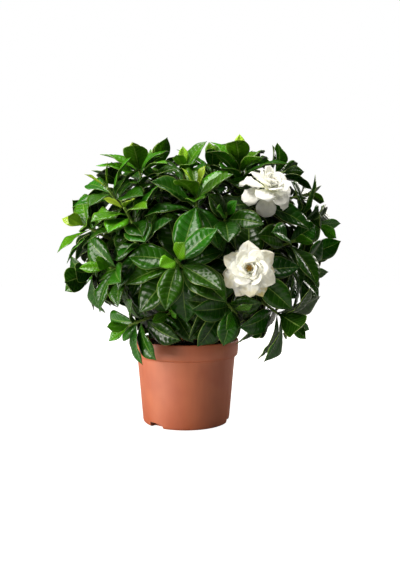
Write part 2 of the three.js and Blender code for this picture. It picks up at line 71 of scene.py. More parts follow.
POT_HEIGHT = 94.5
RIM_RADIUS = 60.5
BAND_DEPTH = 19
FOOT_RADIUS = 49.8
SHOULDER_RADIUS = 56.4
WALL = 1.6
FLOOR = 2.4
DRAINS = {"count": 3, "width": 19, "height": 5.5, "depth": 9, "first": -131}
POT_CENTRE = 20  # the radius of the flat disc that a floor or a soil's underside is turned from
SOIL_TOP = 86
ROOTED = 30
POT_SIDES = 128
SOIL_SIDES = 72
SOFT_EDGE = 1.2
CRUMBS = 330

TRUNK_RADII = (3.6, 2.6)
BRANCH_RADII = (2.3, 1.8)
FIRST_FORK, LAST_FORK = 0.25, 0.98  # where a trunk's branches leave it
REACHING = 0.4  # how far back a branch's bend lies from its tip, against the distance to its fork
SCARS = {"every": 5, "swelling": 1.14}
BARK = {"voxel": 1.15, "fissures": 3, "depth": 0.5}
STEPS = {"room": 60, "tight": 120, "trunk": 24, "branch": 20, "shoot": 30}
CUTTINGS = {
    "front_left": ((-20, -14), (-36, -24, 190)),
    "front_right": ((17, -17), (44, -26, 190)),
    "back_left": ((-16, 18), (-36, 34, 190)),
    "back_right": ((20, 16), (46, 34, 190)),
}

# A green shoot, and its whorls from the oldest leaves to the newest: place along the shoot, number of
# leaves, degrees off the shoot, length against the longest, and degrees of arch.
SHOOT = {"length": 44, "sides": 6, "radii": (1.7, 1.2), "node": 2.2}
SIDE_TURN = 60
Whorl = namedtuple("Whorl", "place leaves spread size arch")
WHORLS = [
    Whorl(0.2, 3, 96, 0.9, 42),
    Whorl(0.5, 3, 84, 1, 40),
    Whorl(0.76, 3, 60, 0.88, 32),
    Whorl(0.95, 2, 22, 0.5, 12),
]
SEPALS = Whorl(0.95, 6, 60, 0.2, 20)
LEAF = {"slender": 0.5, "fold": 16, "wave": 0.03}
HABIT = {"hang": 0.12, "skyward": 0.35, "closing": 0.38, "closest": 14}

# Each shoot: tip, compass and height of the way it points, length of its longest leaves, and the
# compass turn of its first whorl.
SHOOTS = {
    "front_rosette": ((-7, -112, 185), -100, 14, 62, 44),
    "under_upper_bloom": ((86, -62, 258), -62, 42, 60, 20),
    "under_lower_bloom": ((64, -106, 175), -94, 10, 56, 30),
    "left_cup": ((-112, -40, 224), 208, 26, 54, 0),
    "left_crown": ((-84, -50, 264), 228, 46, 54, 40),
    "left_brow": ((-62, -80, 240), 240, 46, 52, 10),
    "crown_left": ((-52, -36, 292), 240, 68, 52, 10),
    "brow": ((12, -84, 258), -92, 56, 54, 0),
    "crown_right": ((60, -26, 298), -90, 72, 54, 0),
    "crown_far_right": ((112, -2, 286), 0, 20, 54, 30),
    "middle_dark": ((42, -86, 230), -88, 24, 58, 10),
    "middle_left": ((-50, -88, 204), 236, 26, 54, 50),
    "right_shoulder": ((118, -56, 206), -38, 16, 60, 30),
    "right_upper": ((150, -14, 226), -6, -18, 56, 40),
    "right_crown": ((142, 4, 262), 8, 14, 50, 50),
    "right_droop": ((130, -40, 170), -20, -16, 56, 40),
    "right_skirt": ((110, -66, 120), -24, -34, 58, 0),
    "front_skirt": ((50, -94, 134), -64, -22, 60, 30),
    "left_droop": ((-112, -36, 166), 200, -24, 60, 20),
    "left_skirt": ((-60, -68, 116), 206, -18, 54, 40),
    "left_low_front": ((-78, -78, 178), 222, 8, 58, 10),
    "front_low": ((-16, -78, 130), -105, -6, 48, 20),
    "crown_middle": ((30, -8, 296), -90, 76, 52, 20),
    "crown_middle_left": ((-34, 14, 297), 130, 76, 52, 30),
    "back_crown_left": ((-78, 26, 280), 160, 56, 56, 30),
    "back_crown_right": ((52, 56, 280), 70, 60, 56, 10),
    "back_left_upper": ((-110, 30, 232), 164, 30, 58, 10),
    "back_middle_upper": ((-14, 84, 252), 95, 44, 58, 40),
    "back_right_upper": ((92, 72, 240), 46, 36, 58, 0),
    "back_left": ((-82, 84, 190), 132, 14, 60, 0),
    "back_middle": ((4, 116, 188), 88, 12, 60, 20),
    "back_right": ((100, 88, 180), 42, 8, 60, 50),
    "right_back": ((146, 40, 190), 16, 6, 58, 20),
    "left_back": ((-112, 30, 168), 168, -10, 48, 50),
    "back_skirt_left": ((-48, 82, 134), 120, -14, 56, 10),
    "back_skirt_right": ((56, 84, 132), 60, -14, 56, 40),
    "crown_back_right": ((72, 30, 294), 80, 66, 52, 30),
    "crown_front": ((-2, -28, 288), -95, 66, 50, 0),
    "inner_left": ((-36, -56, 226), -112, 30, 50, 0),
}
# Shoots in fresh growth, by how much younger and yellower their newest leaves are.
FRESH = {"left_cup": 0.5, "left_crown": 0.4, "left_brow": 0.55, "brow": 0.45, "crown_right": 0.55}
FRESH |= {"crown_left": 0.5, "crown_middle_left": 0.35, "crown_front": 0.35, "crown_middle": 0.3}
FRESH |= {"front_rosette": 0.22, "left_low_front": 0.2, "left_skirt": 0.2}

# Thin leaves: places between the whorls of a shoot, then places along its branch and, low down, along
# the trunk, where they stand singly.
BETWEEN = (0.08, 0.36, 0.64)
SINGLE = Whorl(None, 1, 78, 1, 36)
SINGLE_TURN = 137.5
OLD_LEAVES = {"places": (0.3, 0.4, 0.5, 0.6, 0.7, 0.8, 0.88, 0.96), "longest": 50}
LOW_LEAVES = {"places": (0.12, 0.17, 0.22, 0.27, 0.32, 0.37), "longest": 42}

# A bloom's whorls of petals on its six-sided core: place, number, degrees off the axis, length, width,
# degrees of arch, which is negative where they cup inwards, and how freely their edges roll and wave.
# Small petaloids crowd round its heart.
CORE = {"sides": 6, "radii": (3.2, 3), "node": 1.3}
PetalWhorl = namedtuple("PetalWhorl", "place petals spread length width arch loose")
PETAL_WHORLS = [
    PetalWhorl(1.6, 6, 100, 29, 22, 26, 1),
    PetalWhorl(3.6, 6, 78, 26, 23, 20, 0.8),
    PetalWhorl(5.6, 6, 54, 19, 17, -6, 0.4),
    PetalWhorl(7.8, 3, 26, 13, 12, -16, 0.2),
]
PETALOIDS = [PetalWhorl(6.8, 6, 42, 13, 12, -22, 0.4), PetalWhorl(8.2, 6, 26, 9, 8, -30, 0.2)]
PETAL = {"overlap": -13, "fold": 6, "wave": 0.04}
HANGING_DROP = 34
WILTED = (0.9, 0.35, 0.1, 0.1, 0.1, 0.2)  # how far each whorl shows its bloom's age
HEART = {"height": 3, "radii": (1.3, 1), "spread": 36, "stamens": 6}
BLOOMS = {
    "upper": {"shoot": "under_upper_bloom", "turn": 20, "cup": 12, "hanging": [4]},
    "lower": {"shoot": "under_lower_bloom", "turn": 0, "cup": 0, "hanging": []},
}
BLOOMS["upper"] |= {"pointed": 0.2, "frill": 0.8, "wilt": 0.1}
BLOOMS["lower"] |= {"pointed": 0.75, "frill": 1.2, "wilt": 1.0}

SEEDS = {"leaves": 100, "thin": 300, "old": 500, "low": 600, "tints": 900, "petals": 31, "wilt": 40}
SEEDS |= {"crumbs": 77}

FLOWERING = [bloom["shoot"] for bloom in BLOOMS.values()]

# ---- small tools ----

UP = np.array((0.0, 0.0, 1.0))


def seeded(seed):
    """Numbers from 0 to 1 that are the same each time for the same seed."""
    state = seed
    while True:
        state = (state * 1664525 + 1013904223) % 2**32
        yield state / 2**32


def point(*numbers):
    return np.array(numbers, float)


def heading(compass, height):
    turn, lift = math.radians(compass), math.radians(height)
    return point(math.cos(lift) * math.cos(turn), math.cos(lift) * math.sin(turn), math.sin(lift))


def unit(vector):
    return vector / np.linalg.norm(vector)


def framed(along):
    """Two unit vectors square to an axis and to each other."""
    helper = UP if abs(along[2]) < 0.9 else point(1, 0, 0)
    right = unit(np.cross(helper, along))
    return right, np.cross(along, right)


def aside(along, degrees):
    """The unit vector square to an axis at an angle round it."""
    right, other = framed(along)
    angle = math.radians(degrees)
    return right * math.cos(angle) + other * math.sin(angle)


def linear(code):
    """A hex colour, which is sRGB, as the linear RGBA that the shaders take."""
    channels = [int(code[i : i + 2], 16) / 255 for i in (1, 3, 5)]
    return (*[c / 12.92 if c <= 0.04045 else ((c + 0.055) / 1.055) ** 2.4 for c in channels], 1.0)


# ---- blades: the bent surfaces that leaves and petals are laid on ----


TIP = (0.55, 0.45)  # where a blade's tip begins, and how long it is
END = (0.6, 0.4)  # the same for the part that may curl back
MARGIN_CURL, END_CURL = 4, 3.4
FRILLING = 27


@dataclass
class Blade:
    root: np.ndarray
    along: np.ndarray
    up: np.ndarray
    length: float
    width: float
    arch: float
    roll: float
    twist: float
    fold: float
    wave: float
    waves: float
    phase: float
    outline: Callable
    frill: float = 0.3
    pointed: float = 0.0
    curl: float = 0.0

    def __post_init__(self):
        self.along = unit(self.along)
        self.up = unit(self.up - self.along * (self.up @ self.along))
        self.side = np.cross(self.along, self.up)


def blade_frame(blade, t):
    """The midrib's points at each t along a blade, with its side and its up there."""
    angle = (blade.arch * t)[:, None]
    lifted = blade.up * np.cos(angle) + blade.along * np.sin(angle)
    roll = (blade.roll + blade.twist * t)[:, None]
    side = blade.side * np.cos(roll) + lifted * np.sin(roll)
    up = lifted * np.cos(roll) - blade.side * np.sin(roll)
    reach = blade.length / blade.arch
    middle = blade.root + blade.along * (reach * np.sin(angle)) - blade.up * (reach * (1 - np.cos(angle)))
    return middle, side, up


def share_past(t, start, span):
    """How far t is past a start, as a share of a span, from 0 to 1."""
    return np.clip((t - start) / span, 0, 1)


def narrowing(blade, t):
    """The part of its outline's width that a blade keeps towards its end."""
    return 1 - blade.pointed * share_past(t, *TIP)


def blade_points(blade, t, s):
    """Points of a blade's middle surface at t along it and s across it, from -1 to 1."""
    middle, side, up = blade_frame(blade, t)
    reach = blade.outline(t) * blade.width * 0.5 * narrowing(blade, t)
    ripple = blade.wave * np.sin(2 * np.pi * blade.waves * t + blade.phase + s) * s * s
    lift = np.abs(s) * reach * math.sin(blade.fold) + ripple * blade.outline(t)
    return middle + side * (s * reach * math.cos(blade.fold))[:, None] + up * lift[:, None]


def leaf_outline(t):
    """Half of a leaf's width against its greatest: a slim stalk, a wedge foot and a drawn-out tip."""
    stalk = 0.05
    past = np.maximum(0, (t - stalk) / (1 - stalk))
    swell = np.maximum(0, np.sin(np.pi * past**1.15)) ** 0.8
    return np.maximum(np.where(t < 0.5, 0.07, 0), swell)


def petal_outline(t):
    """The same along a petal: a narrow claw that widens to a round end. Known fault: it isn't defined below
    t = 0, and rounding puts the first row of the petals' pattern there."""
    opening = 0.1 + 0.9 * np.sin((np.pi / 2) * np.minimum(1, t / 0.7)) ** 1.5
    return opening * np.sqrt(1 - 0.94 * np.maximum(0, (t - 0.7) / 0.3) ** 2)


# ---- room: which part of the air each piece already fills ----

AIR_REACH = 240
AIR_HEIGHT = 390
CELL = 2.6
TIGHT_CELL = 1.6
OVER_RIM, BESIDE_RIM, OFF_GROUND = 4, 18, 8  # where the solids' leaves keep clear of the pot
THIN_OVER_RIM, OFF_SOIL, INSIDE_BOX = 3, 6, 2  # where the thin ones keep clear of pot, soil and box
RIM_RING = (4, 14)  # how far outside the rim the middle of the ring that they keep off lies, and its half
NOBODY = 0
SEVERAL = -1
SPACING = 1.9
THIN_SPACING = 1.3
COARSE_SPACING = 9


class Room:
    """The air round the plant in cells, each marked with the number of the piece that fills it."""

    def __init__(self, cell):
        self.cell = cell
        self.across = math.ceil(2 * AIR_REACH / cell)
        self.held = np.zeros(self.across**2 * math.ceil(AIR_HEIGHT / cell), np.int16)
        steps = (-1, 0, 1)
        steps = [(i, j, k) for i in steps for j in steps for k in steps]
        self.neighbours = np.array([i + self.across * (j + self.across * k) for i, j, k in steps])

    def cells(self, points):
        i, j, k = np.floor((points + (AIR_REACH, AIR_REACH, 0)) / self.cell).astype(int).T
        return i + self.across * (j + self.across * k)

    def at(self, points):
        return self.held[self.cells(points)]

    def claim(self, points, owner):
        """Marks the cells at and next to these points as an owner's."""
        cells = np.unique(self.cells(points)[:, None] + self.neighbours)
        held = self.held[cells]
        self.held[cells] = np.where((held == NOBODY) | (held == owner), owner, SEVERAL)

    def fill(self, points):
        """Marks only the cells that these points are in."""
        self.held[self.cells(points)] = 1


air = Room(CELL)
own = Room(CELL)
tight = Room(TIGHT_CELL)  # the cells that blades and stems really pass through
petal_air = Room(CELL)


def is_free(points, owner):
    """Whether one of the solids' leaves has room: no other piece is near, nor the pot or the ground."""
    held = air.at(points)
    from_axis = np.hypot(points[:, 0], points[:, 1])
    over_pot = (points[:, 2] < POT_HEIGHT + OVER_RIM) & (from_axis < RIM_RADIUS + BESIDE_RIM)
    too_low = points[:, 2] < OFF_GROUND
    return bool(np.all((held == NOBODY) | (held == owner)) and not np.any(over_pot | too_low))


def is_clear(points):
    """Whether a thin leaf can pass: nothing is in its way, and it stays off the soil and the rim."""
    from_axis = np.hypot(points[:, 0], points[:, 1])
    off_ring = np.abs(from_axis - RIM_RADIUS - RIM_RING[0])
    at_rim = (points[:, 2] < POT_HEIGHT + THIN_OVER_RIM) & (off_ring < RIM_RING[1])
    in_soil = (points[:, 2] < SOIL_TOP + OFF_SOIL) & (from_axis < RIM_RADIUS + OFF_SOIL)
    outside = np.any((points < cad_low + INSIDE_BOX) | (points > cad_high - INSIDE_BOX))
    taken = np.any(tight.at(points)) or np.any(petal_air.at(points))
    return not (outside or taken or np.any(at_rim | in_soil))


def spread_over(blade, start, spacing=SPACING):
    """Points spread over a blade, close enough that nothing passes between them."""
    rows = math.ceil(blade.length / spacing)
    columns = math.ceil(blade.width / spacing)
    t, s = np.meshgrid(
        np.arange(math.ceil(rows * start), rows + 1) / rows,
        2 * np.arange(columns + 1) / columns - 1,
        indexing="ij",
    )
    return blade_points(blade, t.ravel(), s.ravel())


# ---- where the stems and branches run ----


def axis_of(shoot):
    _, compass, height, _, _ = SHOOTS[shoot]
    return heading(compass, height)


def foot_of(shoot):
    return point(*SHOOTS[shoot][0]) - axis_of(shoot) * SHOOT["length"]


def cutting_of(shoot):
    """The cutting that carries a shoot: seen from above, its fork stands nearest to the shoot's foot."""
    foot = foot_of(shoot)
    return min(CUTTINGS, key=lambda name: math.hypot(*(foot[:2] - CUTTINGS[name][1][:2])))


def along_curve(curve, t):
    """Where a quadratic curve is at t, 0 to 1."""
    start, bend, end = curve
    return start * (1 - t) ** 2 + bend * 2 * t * (1 - t) + end * t**2


def curve_points(curve, steps):
    return along_curve(curve, np.linspace(0, 1, steps + 1)[:, None])


def trunk_curve(cutting):
    root, fork = CUTTINGS[cutting]
    return point(*root, SOIL_TOP + 3), point(*root, SOIL_TOP + 30), point(*fork)


def branches_of(cutting):
    """Each shoot's branch on a cutting, as the three points of its curve. The lowest leaves first."""
    shoots = [name for name in SHOOTS if cutting_of(name) == cutting]
    shoots.sort(key=lambda name: foot_of(name)[2])
    branches = {}
    for i, shoot in enumerate(shoots):
        t = FIRST_FORK + (LAST_FORK - FIRST_FORK) * i / (len(shoots) - 1)
        fork = along_curve(trunk_curve(cutting), t)
        tip = foot_of(shoot) - axis_of(shoot) * GAP
        branches[shoot] = (fork, tip - axis_of(shoot) * REACHING * math.dist(fork, tip), tip)
    return branches


# ---- where the leaves and petals stand ----


def spread_blade(axis, outward, spread):
    """The heading and the upper face of a blade that stands off an axis."""
    along = axis * math.cos(spread) + outward * math.sin(spread)
    up = axis * math.sin(spread) - outward * math.cos(spread)
    return along, up


def place_leaf(at, axis, outward, whorl, longest, opening, lean, trial):
    """A leaf at a point of a stem, turned, raised and shortened by a trial's amounts."""
    spread = math.radians(max(HABIT["closest"], opening + trial[1] + lean["spread"]))
    along, up = spread_blade(axis, outward, spread)
    length = longest * whorl.size * lean["size"] * trial[0]
    return Blade(
        root=at + outward * SHOOT["radii"][1],
        along=along - UP * HABIT["hang"] * whorl.size,
        up=up + UP * HABIT["skyward"] * whorl.size,
        length=length,
        width=length * LEAF["slender"] * lean["slender"],
        arch=math.radians(whorl.arch * lean["arch"]),
        roll=math.radians(lean["roll"]),
        twist=math.radians(lean["twist"]),
        fold=math.radians(LEAF["fold"]),
        wave=LEAF["wave"] * length,
        waves=1.5,
        phase=lean["phase"],
        outline=leaf_outline,
    )


# How far along a leaf its room begins: nearer its stem it may crowd others.
AIR_FROM, OWN_FROM, THIN_FROM, SINGLE_FROM, TIGHT_FROM = 0.1, 0.26, 0.22, 0.15, 0.05

# The ways a leaf may give way to its neighbours, least first: scale, raise and turn.
SCALES = (1, 0.86, 0.72)
TRIALS = list(itertools.product(SCALES, (0, 12, -12, 24, -24, 36, -36), (0, 12, -12, 22, -22)))
THIN_TRIALS = list(itertools.product(SCALES, (0, 15, -15, 30, -30), (0, 20, -20)))


def opening_of(whorl, height):
    """How far a whorl opens, which is less on a shoot that stands up."""
    return whorl.spread * (1 - HABIT["closing"] * max(0, height) / 90)


def leaning(draw):
    """How one leaf differs from the next."""
    return {
        "spread": 16 * (next(draw) - 0.5),
        "size": 0.9 + 0.2 * next(draw),
        "slender": 0.9 + 0.25 * next(draw),
        "arch": 0.5 + next(draw),
        "roll": 24 * (next(draw) - 0.5),
        "twist": 36 * (next(draw) - 0.5),
        "phase": 2 * math.pi * next(draw),
    }


def settle(blade):
    tight.fill(spread_over(blade, TIGHT_FROM, THIN_SPACING))
    return blade


def first_fit(leaf_at, start):
    """The first of the trials of a leaf that has room, or none. A few points rule most trials out."""
    for trial in THIN_TRIALS:
        leaf = leaf_at(trial)
        if all(is_clear(spread_over(leaf, start, spacing)) for spacing in (COARSE_SPACING, THIN_SPACING)):
            return [settle(leaf)]
    return []


def grow_leaves(shoot, owner):
    """A shoot's leaves by whorl, and the places where none found room."""
    _, _, height, longest, turn = SHOOTS[shoot]
    whorls = [*WHORLS[:3], SEPALS] if shoot in FLOWERING else WHORLS
    axis = axis_of(shoot)
    draw = seeded(SEEDS["leaves"] + owner)
    leaves, bare = [], []
    for row, whorl in enumerate(whorls):
        at = foot_of(shoot) + axis * SHOOT["length"] * whorl.place
        opening = opening_of(whorl, height)
        for i in range(whorl.leaves):
            side = (row + i * (SHOOT["sides"] // whorl.leaves)) % SHOOT["sides"]
            lean = leaning(draw)
            for trial in TRIALS:
                outward = aside(axis, turn + SIDE_TURN * side + trial[2])
                leaf = place_leaf(at, axis, outward, whorl, longest, opening, lean, trial)
                if not is_free(spread_over(leaf, AIR_FROM), owner):
                    continue
                if np.any(own.at(spread_over(leaf, OWN_FROM)) == owner):
                    continue
                air.claim(spread_over(leaf, AIR_FROM), owner)
                own.claim(spread_over(leaf, OWN_FROM), owner)
                leaves.append((row, settle(leaf)))
                break
            else:
                if whorl is not SEPALS:
                    bare.append((row, side, lean))
    return leaves, bare


def grow_thin_leaves(shoot, bare):
    """Leaves for a shoot's bare places, and more between its whorls: thin ones do find room there."""
    _, _, height, longest, turn = SHOOTS[shoot]
    axis = axis_of(shoot)
    draw = seeded(SEEDS["thin"] + list(SHOOTS).index(shoot))
    places = [(row, WHORLS[row].place, side, lean) for row, side, lean in bare]
    for row, place in enumerate(BETWEEN):
        places += [(row, place, row + 2 * i + 0.5, leaning(draw)) for i in range(3)]
    found = []
    for row, place, side, lean in places:
        at = foot_of(shoot) + axis * SHOOT["length"] * place
        opening = opening_of(WHORLS[row], height)

        def leaf_at(trial):
            outward = aside(axis, turn + SIDE_TURN * side + trial[2])
            return place_leaf(at, axis, outward, WHORLS[row], longest, opening, lean, trial)

        found += [(row, leaf) for leaf in first_fit(leaf_at, THIN_FROM)]
    return found


def grow_single_leaves(curve, leaves, seed):
    """Older leaves, which stand singly along a branch or a trunk."""
    draw = seeded(seed)
    start, bend, end = curve
    found = []
    for i, t in enumerate(leaves["places"]):
        at = along_curve(curve, t)
        axis = unit((bend - start) * (1 - t) + (end - bend) * t)
        lean = leaning(draw)

        def leaf_at(trial):
            outward = aside(axis, SINGLE_TURN * i + trial[2])
            return place_leaf(at, axis, outward, SINGLE, leaves["longest"], SINGLE.spread, lean, trial)

        found += first_fit(leaf_at, SINGLE_FROM)
    return found


def seat_of(shoot):
    """Where a bloom sits: just off its shoot's end."""
    end = SHOOT["length"] * SEPALS.place + SHOOT["node"] / 2
    return foot_of(shoot) + axis_of(shoot) * (end + GAP)


def grow_petals(bloom):
    """A bloom's petals, from the outermost whorl to the innermost, and then its petaloids."""
    axis = axis_of(bloom["shoot"])
    seat = seat_of(bloom["shoot"])
    draw = seeded(bloom["turn"] + SEEDS["petals"])
    petals = []
    for row, whorl in enumerate([*PETAL_WHORLS, *PETALOIDS]):
        for i in range(whorl.petals):
            side = i * (CORE["sides"] // whorl.petals)
            outward = aside(axis, bloom["turn"] + SIDE_TURN * side + 30 * row + 6 * (next(draw) - 0.5))
            drop = HANGING_DROP if row == 0 and side in bloom["hanging"] else 0
            opening = whorl.spread * (1 - bloom["cup"] / 100)
            along, up = spread_blade(axis, outward, math.radians(opening + drop + 5 * (next(draw) - 0.5)))
            petal = Blade(
                root=seat + axis * whorl.place + outward * CORE["radii"][1] * math.cos(math.pi / 6),
                along=along,
                up=up,
                length=whorl.length * (0.92 + 0.16 * next(draw)),
                width=whorl.width * (0.92 + 0.16 * next(draw)),
                arch=math.radians(whorl.arch + 8 * (next(draw) - 0.5)),
                roll=math.radians(PETAL["overlap"]),
                twist=math.radians(10 * (next(draw) - 0.5)),
                fold=math.radians(PETAL["fold"]),
                wave=PETAL["wave"] * whorl.length,
                waves=1.2,
                phase=2 * math.pi * next(draw),
                outline=petal_outline,
                frill=bloom["frill"] * whorl.loose,
                pointed=bloom["pointed"] * whorl.loose,
                curl=whorl.loose,
            )
            petals.append((row, petal))
    return petals


OWNERS = {"wood": 1, "bloom": 10, "shoot": 100}


def grow_plant():
    """Every leaf and petal of the plant, in the order in which they take their room."""
    for cutting in CUTTINGS:
        curves = [trunk_curve(cutting), *branches_of(cutting).values()]
        for curve in curves:
            air.claim(curve_points(curve, STEPS["room"]), OWNERS["wood"])
            tight.fill(curve_points(curve, STEPS["tight"]))
    for i, shoot in enumerate(SHOOTS):
        along = np.linspace(0, 1, STEPS["shoot"] + 1)[:, None]
        stem = foot_of(shoot) + along * (point(*SHOOTS[shoot][0]) - foot_of(shoot))
        air.claim(stem, OWNERS["shoot"] + i)
        tight.fill(stem)
    petals = {}
    for i, (name, bloom) in enumerate(BLOOMS.items()):
        petals[name] = grow_petals(bloom)
        for _, petal in petals[name]:
            air.claim(spread_over(petal, 0), OWNERS["bloom"] + i)
            petal_air.claim(spread_over(petal, 0), 1)
    leaves, bare, old = {}, {}, {}
    for i, shoot in enumerate(SHOOTS):
        leaves[shoot], bare[shoot] = grow_leaves(shoot, OWNERS["shoot"] + i)
    for shoot in SHOOTS:
        leaves[shoot] += grow_thin_leaves(shoot, bare[shoot])
    for cutting in CUTTINGS:
        low = grow_single_leaves(trunk_curve(cutting), LOW_LEAVES, SEEDS["low"])
        for i, (shoot, branch) in enumerate(branches_of(cutting).items()):
            old[shoot] = grow_single_leaves(branch, OLD_LEAVES, SEEDS["old"] + i) + (low if i == 0 else [])
    return leaves, old, petals


# ---- modelling tools ----


def alone(piece):
    """Selects one piece and nothing else."""
    bpy.ops.object.select_all(action="DESELECT")
    piece.select_set(True)
    bpy.context.view_layer.objects.active = piece


def primitive(operator, **settings):
    """Adds a primitive with nothing else selected."""
    bpy.ops.object.select_all(action="DESELECT")
    operator(**settings)
    return bpy.context.active_object


def applied(piece, kind, **settings):
    """Gives a piece a modifier and applies it."""
    alone(piece)
    modifier = piece.modifiers.new(kind.lower(), kind)
    for name, value in settings.items():
        setattr(modifier, name, value)
    bpy.ops.object.modifier_apply(modifier=modifier.name)


def at_origin(piece, name):
    """Puts a piece's place, turn and size in its mesh, and names it."""
    alone(piece)
    bpy.ops.object.transform_apply(location=True, rotation=True, scale=True)
    piece.name = name
    piece.data.name = name
    return piece


def reshaped(piece, rule):
    """Moves a piece's points by a rule from where they are, in mm, to where they go, in mm."""
    coordinates = np.empty(len(piece.data.vertices) * 3)
    piece.data.vertices.foreach_get("co", coordinates)
    moved = rule(coordinates.reshape(-1, 3) / MM) * MM
    piece.data.vertices.foreach_set("co", moved.ravel())
    piece.data.update()
    return piece


def copied(pattern, rule=None, **values):
    """A copy of a pattern with its own mesh, its points moved by a rule, and a value for each attribute."""
    piece = pattern.copy()
    piece.data = pattern.data.copy()
    bpy.context.collection.objects.link(piece)
    if rule:
        reshaped(piece, rule)
    for name, value in values.items():
        attribute = piece.data.attributes.new(name, "FLOAT", "POINT")
        attribute.data.foreach_set("value", np.full(len(piece.data.vertices), value, np.float32))
    return piece


def joined(pieces, name):
    alone(pieces[0])
    for piece in pieces[1:]:
        piece.select_set(True)
    bpy.ops.object.join()
    return at_origin(pieces[0], name)


def turned(name, profile, sides):
    """A round closed form: a disc extruded and resized ring by ring up a profile of (radius, height)."""
    radius, height = profile[0]
    disc = {"vertices": sides, "radius": radius * MM, "location": (0, 0, height * MM)}
    piece = primitive(bpy.ops.mesh.primitive_circle_add, fill_type="NGON", **disc)
    bpy.ops.object.mode_set(mode="EDIT")
    bpy.ops.mesh.select_all(action="SELECT")
    for next_radius, next_height in profile[1:]:
        rise = (0, 0, (next_height - height) * MM)
        bpy.ops.mesh.extrude_region_move(TRANSFORM_OT_translate={"value": rise})
        growth = next_radius / radius
        bpy.ops.transform.resize(value=(growth, growth, 1), center_override=(0, 0, next_height * MM))
        radius, height = next_radius, next_height
    bpy.ops.mesh.select_all(action="SELECT")
    bpy.ops.mesh.normals_make_consistent(inside=False)
    bpy.ops.object.mode_set(mode="OBJECT")
    bpy.ops.object.shade_smooth()
    return at_origin(piece, name)


def standing(foot, along):
    """A rule that stands a form, modelled up +Z from the origin, on a foot along an axis."""
    right, other = framed(along)
    return lambda points: foot + points[:, :1] * right + points[:, 1:2] * other + points[:, 2:] * along


def dressed(piece, *materials):
    piece.data.materials.clear()
    for material in materials:
        piece.data.materials.append(material)
    return piece


def stands_for(piece, slot, *nodes):
    """The piece rides with the plant and stands for CAD nodes. Its slot is not used."""
    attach(piece, "root")
    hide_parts(*nodes)


# ---- materials ----

USUAL = {"MapRange": {"interpolation_type": "SMOOTHSTEP"}, "Mix": {"data_type": "RGBA"}}
TIMES, PLUS, MINUS = ({"operation": name} for name in ("MULTIPLY", "ADD", "SUBTRACT"))
DETAIL = 4
VEIN_PAIRS = 9


def add_node(tree, kind, *inputs, named=None, stops=(), **settings):
    """Adds a node with its settings, its ramp's stops and its inputs, in order and then by name. An input
    takes a number, a vector, a hex colour, an output, or a node, which gives its first output."""
    made = tree.nodes.new("ShaderNode" + kind)
    for name, value in (USUAL.get(kind, {}) | settings).items():
        setattr(made, name, value)
    while stops and len(made.color_ramp.elements) < len(stops):
        made.color_ramp.elements.new(1)
    for (place, colour), element in zip(stops, made.color_ramp.elements if stops else ()):
        element.position = place
        element.color = linear(colour)
    pairs = list(zip([socket for socket in made.inputs if socket.enabled], inputs))
    pairs += [(made.inputs[name], value) for name, value in (named or {}).items()]
    for socket, value in pairs:
        if isinstance(value, bpy.types.Node):
            value = next(output for output in value.outputs if output.enabled)
        if isinstance(value, bpy.types.NodeSocket):
            tree.links.new(value, socket)
        else:
            socket.default_value = linear(value) if isinstance(value, str) else value
    return made


def material(name):
    """An empty material, with what adds a node to it and its object's coordinates."""
    made = bpy.data.materials.new(name)
    made.use_nodes = True
    made.node_tree.nodes.clear()
    add = partial(add_node, made.node_tree)
    return made, add, add("TexCoord").outputs["Object"]


def grain(size):
    """A noise's scale for a grain of this size in mm."""
    return 1 / (size * MM)


def finished(add, inputs, height, depth, strength=1.0):
    """The surface: a principled shader over a bump of this depth in mm."""
    bump = add("Bump", named={"Height": height, "Distance": depth * MM, "Strength": strength})
    add("OutputMaterial", add("BsdfPrincipled", named=inputs | {"Normal": bump}))


def moulded_polypropylene():
    """Terracotta-coloured polypropylene, injection moulded: satin, with a fine even grain, faint flow
    marks up the wall and a little dust and scuffing at the rim."""
    made, add, places = material("moulded_polypropylene")
    flow = add("TexNoise", add("Mapping", places, named={"Scale": (1, 1, 0.12)}), grain(9), DETAIL)
    cloud = add("TexNoise", places, grain(40), DETAIL / 2)
    pits = add("TexNoise", places, grain(0.5), DETAIL)
    base = add("Mix", add("MapRange", cloud, 0.35, 0.65), "#a34e29", "#ad5932")
    base = add("Mix", add("MapRange", flow, 0.45, 0.75, 0, 0.2), base, "#954b2e")
    height = add("SeparateXYZ", places).outputs["Z"]
    at_rim = add("MapRange", height, (POT_HEIGHT - 6.5) * MM, POT_HEIGHT * MM)
    scuff = add("Math", at_rim, add("MapRange", pits, 0.55, 0.7, 0, 0.35), **TIMES)
    inputs = {
        "Base Color": add("Mix", scuff, base, "#d09a80"),
        "Roughness": add("MapRange", flow, 0.3, 0.7, 0.48, 0.58),
        "IOR": 1.49,
        "Specular IOR Level": 0.9,
    }
    rise = add("Math", pits, add("Math", flow, 0.6, **TIMES), **PLUS)
    finished(add, inputs, rise, 0.05, 0.6)
    return made


def moist_peat():
    """Moist peat compost: near black, with browner fibres and crumbs."""
    made, add, places = material("moist_peat")
    crumbs = add("TexNoise", places, grain(2.2), DETAIL)
    fibres = add("TexNoise", add("Mapping", places, named={"Scale": (1, 0.25, 1)}), grain(1), DETAIL)
    base = add("ValToRGB", crumbs, stops=[(0.35, "#0d0907"), (0.55, "#231812"), (0.72, "#3d2c20")])
    base = add("Mix", add("MapRange", fibres, 0.62, 0.72, 0, 0.5), base, "#6a5238")
    finished(add, {"Base Color": base, "Roughness": 0.95, "Specular IOR Level": 0.2}, crumbs, 1.2)
    return made


